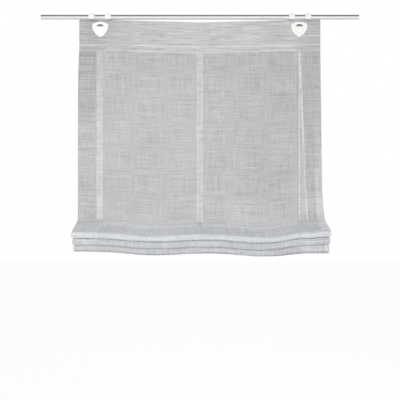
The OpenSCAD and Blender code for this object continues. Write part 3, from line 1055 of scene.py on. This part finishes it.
# %% [markdown]
# ## Colour of the linen
# The cloth is close to a neutral grey, but not the same all over: the upper panel is a trace cool,
# the lower half is a trace yellowish, the folds are bluish with the painted tint of the light that
# passes between their layers, and the header above its seam is warm. A hue near 1 in all three
# channels is scaled by the shade, so shade and hue can be set one at a time.

# %% Colour of the linen
COOL = (1.000, 1.0, 1.016, 1)
YELLOWISH = (0.990, 1.0, 0.970, 1)
BLUISH = (0.986, 1.0, 1.032, 1)
WARM = (0.997, 1.0, 0.980, 1)
WARM_END = (STITCH_LINE - 0.002, STITCH_LINE + 0.004)


def blend_colour(tree, factor, a, b):
    inputs = {0: factor, 6: a, 7: b}
    return add_node(tree, "ShaderNodeMix", inputs, data_type="RGBA").outputs[2]


def plug(material, socket, value):
    """Plugs a node's output into a socket of the shader."""
    material.node_tree.links.new(value, shader_of(material).inputs[socket])


above_seam = fade_out(down, *WARM_END)
hue = blend_colour(weave, lower_half, COOL, YELLOWISH)
hue = blend_colour(weave, in_folds, hue, BLUISH)
hue = blend_colour(weave, above_seam, hue, WARM)
tint = add_node(weave, "ShaderNodeVectorMath", {0: hue, "Scale": shade}, operation="SCALE")
plug(linen, "Base Color", tint.outputs[0])
print("linen nodes", len(weave.nodes))

# %% [markdown]
# ## Openness of the linen
# Where the yarn is thick the weave is closed. Where it is thin the weave opens and lets the
# background through, which the alpha of the shader does: it makes the face partly invisible.
# Transmission would bend the light as glass does, and thread doesn't. The same yarn roughens the
# surface and lifts it as a bump.

# %% Openness of the linen
OPEN, CLOSED = 0.85, 0.95
THIN_YARN, THICK_YARN = 0.40, 0.60


def roughen(material, height, distance, strength=0.5):
    """Bumps the surface of a material by a height socket."""
    inputs = {"Height": height, "Distance": distance, "Strength": strength}
    plug(material, "Normal", add_node(material.node_tree, "ShaderNodeBump", inputs).outputs[0])


plug(linen, "Alpha", remap(weave, dense, OPEN, CLOSED, THIN_YARN, THICK_YARN))
plug(linen, "Roughness", remap(weave, yarn_across, 0.8, 0.95))
roughen(linen, dense, 0.0006, 0.6)
cloth = object_from(cloth_mesh, "linen_sheet", linen)
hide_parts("cloth")
print("linen sheet", len(cloth.data.polygons), "faces")

# %% [markdown]
# ## The shape of a tape
# A narrow white cotton tape is sewn down the back at both sides and in the middle, to carry the
# rings. A tape is a thin flat ribbon, so it is a small closed outline carried along the cloth at a
# depth just behind it. A curve with a bevel could do that too, but it wouldn't know about the
# cloth's slack. The outline is a little thicker at the edges than in the middle, as a woven
# selvedge is.

# %% Sweep helper
TAPE_T = 0.0006
TAPE_ROUND = 0.0006
SELVEDGE = 0.0022
HOLLOW = 0.0001


def sweep(mesh, place, outline, rows, x, start_depth):
    """Carries a closed outline of (across, depth) points along the cloth, with capped ends."""
    rings = []
    for s in rows:
        rings.append([])
        for dx, depth in outline:
            vertex = mesh.verts.new(cloth_at(x + dx, s, start_depth + depth))
            vertex[place] = (dx, s, depth)
            rings[-1].append(vertex)
    for r1, r2 in zip(rings, rings[1:]):
        for k in range(len(outline)):
            n = (k + 1) % len(outline)
            mesh.faces.new((r1[k], r2[k], r2[n], r1[n]))
    mesh.faces.new(rings[0])
    mesh.faces.new(rings[-1][::-1])


rim = TAPE_W / 2
tape_front = [(-rim + TAPE_ROUND, 0), (-rim + SELVEDGE, HOLLOW), (0, HOLLOW), (rim - SELVEDGE, HOLLOW),
              (rim - TAPE_ROUND, 0)]
tape_back = [(dx, TAPE_T - depth) for dx, depth in reversed(tape_front)]
tape_outline = [(-rim, TAPE_T / 2)] + tape_front + [(rim, TAPE_T / 2)] + tape_back
print("tape", round(TAPE_W, 4), "wide, outline of", len(tape_outline), "points")

# %% [markdown]
# ## Tape finish
# Cotton tape is woven as a herringbone: fine ribs slant one way on the left half and the other way
# on the right. Adding the distance along to the distance from the middle line slants them both ways
# at once, and a sine of that gives the ribs. Noise adds the fuzz of the cotton.

# %% Tape finish
RIB = 0.0016


def two_tone(material, factor, dark, pale):
    """Colours a material between a dark and a pale tone."""
    mixed = blend_colour(material.node_tree, factor, (*dark, 1), (*pale, 1))
    plug(material, "Base Color", mixed)


cotton = finish_of("tape_cotton", Roughness=0.85, Sheen_Weight=0.1)
rib = cotton.node_tree
tape_place = add_node(rib, "ShaderNodeAttribute", {}, attribute_name="weave").outputs["Vector"]
tape_axes = add_node(rib, "ShaderNodeSeparateXYZ", {0: tape_place}).outputs
slanted = math_node(rib, "ADD", math_node(rib, "ABSOLUTE", tape_axes[0]), tape_axes[1])
ribs = math_node(rib, "SINE", math_node(rib, "MULTIPLY", slanted, 2 * math.pi / RIB))
fuzz = grain(rib, tape_place, (900, 900, 900), 3.0)
ribs = math_node(rib, "ADD", math_node(rib, "MULTIPLY", ribs, 0.5), fuzz)
two_tone(cotton, remap(rib, ribs, 0, 1, 0, 1), (0.68, 0.68, 0.67), (0.86, 0.86, 0.84))
plug(cotton, "Roughness", remap(rib, fuzz, 0.75, 0.95))
roughen(cotton, ribs, 0.0003, 0.6)
print("ribs every", RIB)

# %% [markdown]
# ## Three tapes
# Each tape runs from the header's lower edge to just past the last gathered ring. The side tapes
# lie behind the side hems, one layer deeper than the middle tape. They take the cloth's own rows,
# so they bend where it bends.

# %% Tapes
TAPE_TAIL = 0.008
TAPE_L = FLAP_S + TAPE_TAIL - HEADER_H
TAPE_FOOT_S = HEADER_H + TAPE_L
BEHIND = 0.0006  # from the cloth's front to a tape on one layer
TAPE_START, ROW_GAP = 0.0004, 0.002
SIDES = {"left": -TAPE_X, "centre": 0.0, "right": TAPE_X}


def tape_depth(x):
    """Depth of a tape's front. The side tapes lie behind the second layer of a hem."""
    return BEHIND + (LAYER if abs(x) > TAPE_W else 0)


tape_rows = [s for s in along if HEADER_H + ROW_GAP < s < TAPE_FOOT_S - ROW_GAP]
tape_rows = [HEADER_H + TAPE_START] + tape_rows + [TAPE_FOOT_S]
for side, x in SIDES.items():
    mesh = bmesh.new()
    tape_layer = mesh.verts.layers.float_vector.new("weave")
    sweep(mesh, tape_layer, tape_outline, tape_rows, x, tape_depth(x))
    object_from(mesh, "cotton_tape_" + side, cotton)
    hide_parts("tape_" + side)
print("tape length", round(TAPE_L, 4))

# %% [markdown]
# ## Stitches
# The hems and tapes are sewn with white thread. Each stitch is a short round bar that dips into the
# cloth at both ends. Drawing stitches in the material would be quicker, but they would be flat in a
# close view and would be missing from the mesh.

# %% One stitch
THREAD_R = 0.0003
THREAD_SIDES = 5
STITCH_PATH = ((0.0, -0.2), (0.2, 0.8), (0.8, 0.8), (1.0, -0.2))  # share of length, height in radii
STITCH_RADII = [THREAD_R * 0.7, THREAD_R, THREAD_R, THREAD_R * 0.7]


def tube(mesh, points, radii, sides):
    """A round bar through points, with a radius at each, closed at both ends."""
    rings = []
    for k, point in enumerate(points):
        way = (points[min(k + 1, len(points) - 1)] - points[max(k - 1, 0)]).normalized()
        hint = Vector((0, 0, 1)) if abs(way.z) < 0.9 else Vector((0, 1, 0))
        u = way.cross(hint).normalized()
        v = way.cross(u)
        angles = (2 * math.pi * j / sides for j in range(sides))
        spokes = [(u * math.cos(a) + v * math.sin(a)) * radii[k] for a in angles]
        rings.append([mesh.verts.new(point + spoke) for spoke in spokes])
    for r1, r2 in zip(rings, rings[1:]):
        for j in range(sides):
            n = (j + 1) % sides
            mesh.faces.new((r1[j], r1[n], r2[n], r2[j]))
    mesh.faces.new(rings[0][::-1])
    mesh.faces.new(rings[-1])


def stitch(mesh, a, b, face_depth, outward):
    """One stitch between two places on the cloth. outward is -1 on the front and 1 on the back."""
    points = []
    for t, h in STITCH_PATH:
        x, s = (a[j] + (b[j] - a[j]) * t for j in (0, 1))
        points.append(cloth_at(x, s, face_depth + outward * THREAD_R * h))
    tube(mesh, points, STITCH_RADII, THREAD_SIDES)


print("thread", 2 * THREAD_R, "thick")

# %% [markdown]
# ## Thread finish
# Sewing thread is spun and a little shiny. Very fine noise between two whites gives the twist, and
# a faint sheen gives the loose fibres.

# %% Thread finish
def own_place(tree):
    """A piece's own coordinates, which don't change when it moves."""
    return add_node(tree, "ShaderNodeTexCoord", {}).outputs["Object"]


thread = finish_of("sewing_thread", Roughness=0.7, Sheen_Weight=0.1)
twist = grain(thread.node_tree, own_place(thread.node_tree), (900, 900, 900))
two_tone(thread, twist, (0.74, 0.74, 0.73), (0.92, 0.92, 0.91))
roughen(thread, twist, 0.0002, 0.5)
print("thread nodes", len(thread.node_tree.nodes))

# %% [markdown]
# ## Rows of stitches
# Three rows run across the blind: two in the header and one along the bottom hem. Each tape is held
# by two rows. All of them show on both faces of the cloth. Thousands of separate objects would be
# slow, so all the stitches of one face go into one mesh.

# %% Rows of stitches
STITCH = 0.0042
GAP = 0.0009
SIDE_IN = 0.003  # where a row stops short of the cloth's side
SEAM_IN, FOOT_IN = 0.002, 0.003


def stitch_row(mesh, start, end, face_depth, outward):
    """Stitches in a row from one place to another."""
    count = int(math.dist(start, end) / STITCH)
    for k in range(count):
        t1, t2 = k / count, (k + 1 - GAP / STITCH) / count
        a, b = ([start[j] + (end[j] - start[j]) * t for j in (0, 1)] for t in (t1, t2))
        stitch(mesh, a, b, face_depth, outward)


def seam_across(half_width, s):
    return (-half_width, s), (half_width, s)


hem_seams = [seam_across(HALF_W - SIDE_IN, STITCH_LINE), seam_across(HEM_X, HEM_LINE),
             seam_across(HALF_W - SIDE_IN, CLOTH_L - BOTTOM_HEM + SEAM_IN)]
tape_seams = [((x + d, HEADER_H + SEAM_IN), (x + d, TAPE_FOOT_S - FOOT_IN))
              for x in SIDES.values() for d in (-TAPE_SEAM, TAPE_SEAM)]
front, back = bmesh.new(), bmesh.new()
for start, end in hem_seams + tape_seams:
    stitch_row(front, start, end, 0.0, -1)
for start, end in hem_seams:
    stitch_row(back, start, end, END_DEPTH, 1)
for start, end in tape_seams:
    stitch_row(back, start, end, tape_depth(start[0]) + TAPE_T, 1)
front_thread = object_from(front, "stitches_front", thread)
back_thread = object_from(back, "stitches_back", thread)
print("stitch faces", len(front_thread.data.polygons), len(back_thread.data.polygons))

# %% [markdown]
# ## Where the rings are
# A row of small rings is sewn down the back of each tape. The rings stay as CAD, and the thread
# that holds them is added, so their heights are needed. They are read from the CAD mesh: sorted by
# height, its points fall into one cluster for each ring.

# %% Ring heights
def ring_heights(name):
    """Middle heights of the rings of a row."""
    levels = sorted(v.co.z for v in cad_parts[name].data.vertices)
    clusters = [[levels[0]]]
    for z in levels[1:]:
        if z - clusters[-1][-1] > RING_WIRE:
            clusters.append([])
        clusters[-1].append(z)
    return [(c[0] + c[-1]) / 2 for c in clusters]


heights = {side: ring_heights("rings_" + side) for side in SIDES}
ring_y = {side: sum(p.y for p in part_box("rings_" + side)) / 2 for side in SIDES}
print("rings", {side: len(h) for side, h in heights.items()})

# %% [markdown]
# ## Lashings
# Each ring is sewn to its tape with a few turns of thread, which CAD leaves out. A turn is a small
# loop round the ring's wire that moves sideways as it goes round, as a hand-sewn turn does, so the
# turns lie beside each other.

# %% Lashings
RING_D = 0.011
LASH_TURNS = 4
LASH_STEPS = 12
LASH_SPACING = 2.2 * THREAD_R
LASH_DRIFT = 0.0002  # sideways, for each radian
LASH_R = RING_WIRE / 2 + THREAD_R
lash_angles = [2 * math.pi * j / LASH_STEPS for j in range(LASH_STEPS + 1)]
lash = bmesh.new()
for side, x in SIDES.items():
    for z in heights[side]:
        wire = Vector((x, ring_y[side] - RING_D / 2 + RING_WIRE / 2, z))
        for k in range(LASH_TURNS):
            start = wire + Vector(((k - (LASH_TURNS - 1) / 2) * LASH_SPACING, 0, 0))
            loop = [start + Vector((LASH_DRIFT * a, LASH_R * math.cos(a), LASH_R * math.sin(a)))
                    for a in lash_angles]
            tube(lash, loop, [THREAD_R] * len(loop), THREAD_SIDES)
lashings = object_from(lash, "ring_lashings", thread)
print("lashing faces", len(lashings.data.polygons))

# %% [markdown]
# ## Ring finish
# The rings are small moulded hoops and their CAD shape is right, so they only get a finish: a white
# plastic whose gloss varies a little, as it does when many small parts come out of one mould. A
# finish on a CAD node goes into its material slots and leaves its mesh alone.

# %% Ring finish
moulded = finish_of("ring_plastic", Roughness=0.3)
marks = grain(moulded.node_tree, own_place(moulded.node_tree), (220, 220, 220), 3.0)
two_tone(moulded, marks, (0.80, 0.80, 0.79), (0.90, 0.90, 0.88))
plug(moulded, "Roughness", remap(moulded.node_tree, marks, 0.22, 0.4))


def refinish(node, finish):
    """Gives a CAD node another finish and leaves its shape alone."""
    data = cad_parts[node].data
    data.materials.clear()
    data.materials.append(finish)
    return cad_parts[node]


print("refinished", [refinish("rings_" + side, moulded).name for side in SIDES])

# %% [markdown]
# ## Strands and knots
# A thin cord runs up through each row of rings and holds the folds. It is three strands twisted
# together, so it is made as three bars that wind round one straight line. One smooth bar would be
# enough from afar, but the twist shows from close behind. At both ends it is tied off in an
# overhand knot, whose path is the trefoil curve.

# %% Strands and knots
CORD_R = 0.0009
LAY = 0.0065  # length of one turn of the twist
LAY_STEPS = 9
STRANDS = 3
WIND_R, STRAND_R = 0.48 * CORD_R, 0.52 * CORD_R
KNOT_R = 0.0043
KNOT_STEPS = 48


def strand(x, y, low, high, phase):
    """Points of one strand that winds upward round the cord's line."""
    count = int((high - low) / LAY * LAY_STEPS)
    points = []
    for k in range(count + 1):
        z = low + (high - low) * k / count
        a = phase + 2 * math.pi * (z - low) / LAY
        points.append(Vector((x + WIND_R * math.cos(a), y + WIND_R * math.sin(a), z)))
    return points


def trefoil(a):
    """The trefoil curve, three units in radius."""
    x, y = math.sin(a) + 2 * math.sin(2 * a), math.cos(a) - 2 * math.cos(2 * a)
    return Vector((x, y, -1.5 * math.sin(3 * a)))


def knot(x, y, z):
    """Points of a tied overhand knot about a place."""
    turns = (2 * math.pi * k / KNOT_STEPS for k in range(KNOT_STEPS + 1))
    return [Vector((x, y, z)) + trefoil(a) * (KNOT_R - CORD_R) / 3 for a in turns]


print("one turn of the twist", LAY, "knot", round(2 * KNOT_R, 4), "across")

# %% [markdown]
# ## Draw cords
# Each cord takes the place of a CAD solid, from the knot under the lowest ring to the knot above
# the top one, so its ends are read from that solid's box. It is taut between its knots, so it is
# straight. Its finish is cotton again, with the noise stretched along the cord.

# %% Draw cords
STRAND_SIDES, KNOT_SIDES = 6, 8
twine = finish_of("cord_cotton", Roughness=0.75, Sheen_Weight=0.15)
fibres = grain(twine.node_tree, own_place(twine.node_tree), (1400, 1400, 500), 3.0)
two_tone(twine, fibres, (0.76, 0.76, 0.75), (0.92, 0.92, 0.90))
roughen(twine, fibres, 0.0003, 0.6)
for side, x in SIDES.items():
    low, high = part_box("draw_cord_" + side)
    y, radius = (low.y + high.y) / 2, (high.x - low.x) / 2
    ends = (low.z + radius, high.z - radius)
    mesh = bmesh.new()
    for k in range(STRANDS):
        points = strand(x, y, *ends, 2 * math.pi * k / STRANDS)
        tube(mesh, points, [STRAND_R] * len(points), STRAND_SIDES)
    for z in ends:
        points = knot(x, y, z)
        tube(mesh, points, [CORD_R] * len(points), KNOT_SIDES)
    piece = object_from(mesh, "twisted_cord_" + side, twine)
    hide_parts("draw_cord_" + side)
    print(piece.name, round(high.z - low.z, 4), "long,", len(piece.data.polygons), "faces")

# %% [markdown]
# ## Rod
# The rod is a drawn steel tube with a satin finish. Drawing leaves fine lines along it, so the
# noise that varies its gloss and tone is stretched along X. Anisotropic gloss could stand for the
# lines, but it looks the same all along, and lines that come and go look more like metal. The cards
# and the white world give it what it reflects.

# %% Rod finish
satin = finish_of("satin_steel", Metallic=1.0, Roughness=0.25)
drawn = satin.node_tree
metal_place = own_place(drawn)
lines = grain(drawn, metal_place, (6, 900, 900), 3.0)
smudges = grain(drawn, metal_place, (14, 60, 60))
two_tone(satin, lines, (0.86, 0.86, 0.865), (0.95, 0.95, 0.95))
gloss = math_node(drawn, "ADD", remap(drawn, lines, 0.14, 0.20), remap(drawn, smudges, 0.0, 0.05))
plug(satin, "Roughness", gloss)
roughen(satin, lines, 0.00005, 0.15)
refinish("rod", satin)

# %% [markdown]
# ## The notch in a hook
# Each hook has a notch in the top of its plug where a finger pushes it out. The notch is a deep
# recess, and its shade is painted: the plastic turns grey with depth inside a box round the notch.
# The box is five fades on the hook's own coordinates, multiplied together. Measuring from the
# nearer hook serves both hooks at once.

# %% Notch
NOTCH_W = 0.020
NOTCH_H = 0.0085
NOTCH_DEPTH = 0.0090
NEAR, FAR = 0.0002, 0.0006  # where the grey begins and ends to fade outside the notch
# depths where the painted shade in the notch starts and is full, and how far past the notch it fades
SHADE_START, SHADE_FULL, SHADE_END = 0.0003, 0.0040, 0.0005
white_plastic = finish_of("white_plastic", Roughness=0.35, IOR=1.5)
flow = white_plastic.node_tree
moulded_place = own_place(flow)
spot = add_node(flow, "ShaderNodeSeparateXYZ", {0: moulded_place}).outputs
beside = math_node(flow, "SUBTRACT", math_node(flow, "ABSOLUTE", spot[0]), HOOK_X)
beside = math_node(flow, "ABSOLUTE", beside)
above = math_node(flow, "SUBTRACT", spot[2], EYELET_Z + crown(OPENING_W, OPENING_CORNER))
deep = math_node(flow, "SUBTRACT", spot[1], eyelet_low.y)
# painted shade: the plastic turns grey with depth inside the notch
notch_shade = remap(flow, deep, 0.0, 1.0, SHADE_START, SHADE_FULL)
for limit in (remap(flow, beside, 1.0, 0.0, NOTCH_W / 2 + NEAR, NOTCH_W / 2 + FAR),
              remap(flow, above, 0.0, 1.0, -NOTCH_H - FAR, -NOTCH_H - NEAR),
              remap(flow, above, 1.0, 0.0, NEAR, FAR),
              remap(flow, deep, 1.0, 0.0, NOTCH_DEPTH, NOTCH_DEPTH + SHADE_END)):
    notch_shade = math_node(flow, "MULTIPLY", notch_shade, limit)
print("notch", NOTCH_W, "by", NOTCH_H)

# %% [markdown]
# ## White plastic
# Hooks and eyelets are moulded from one warm white plastic. A broad noise shifts its tone and gloss
# slightly, as the flow of the plastic does in the mould, and a very fine one gives its skin. A pure
# white would clip and lose the round edges, so the whites stay below 1.

# %% White plastic
NOTCH_SHADE_GREY = (0.46, 0.45, 0.44, 1)
skin = grain(flow, moulded_place, (120, 120, 120), 4.0)
fine_skin = grain(flow, moulded_place, (2500, 2500, 2500))
unshaded = blend_colour(flow, skin, (0.88, 0.87, 0.84, 1), (0.95, 0.94, 0.915, 1))
# the notch gets its painted shade over the plain white
plug(white_plastic, "Base Color", blend_colour(flow, notch_shade, unshaded, NOTCH_SHADE_GREY))
plug(white_plastic, "Roughness", remap(flow, skin, 0.28, 0.45))
roughen(white_plastic, fine_skin, 0.00005, 0.3)
print("plastic nodes", len(flow.nodes))

# %% [markdown]
# ## Rounded edges
# The CAD solids have the right outlines but knife-sharp edges, and a moulded edge is always a
# little round. A bevel modifier rounds the edges without touching the CAD mesh: a weld first closes
# the seams that the file format opens, and then the bevel takes every edge sharper than a limit.

# %% Rounded edges
WELD_GAP = 0.00002
EDGE_R, EDGE_STEPS = 0.0005, 3
SHARP_ANGLE = math.radians(40)
plastic_pieces = [kind + side for kind in ("hook_", "eyelet_front_", "eyelet_back_")
                  for side in ("left", "right")]
for name in plastic_pieces:
    piece = refinish(name, white_plastic)
    weld = piece.modifiers.new("close", "WELD")
    weld.merge_threshold = WELD_GAP
    bevel = piece.modifiers.new("moulded_edges", "BEVEL")
    bevel.width = EDGE_R
    bevel.segments = EDGE_STEPS
    bevel.limit_method = "ANGLE"
    bevel.angle_limit = SHARP_ANGLE
    bevel.harden_normals = True
print("rounded", plastic_pieces)

# %% [markdown]
# ## Size of the dressed model
# Last, the box round every piece that renders, the stage left out, is printed. The sheet was cut
# wider and longer than it hangs, because its hems are turned in.

# %% Size of the dressed model
low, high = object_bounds()
print("visual box", [round(v, 4) for v in low], [round(v, 4) for v in high])
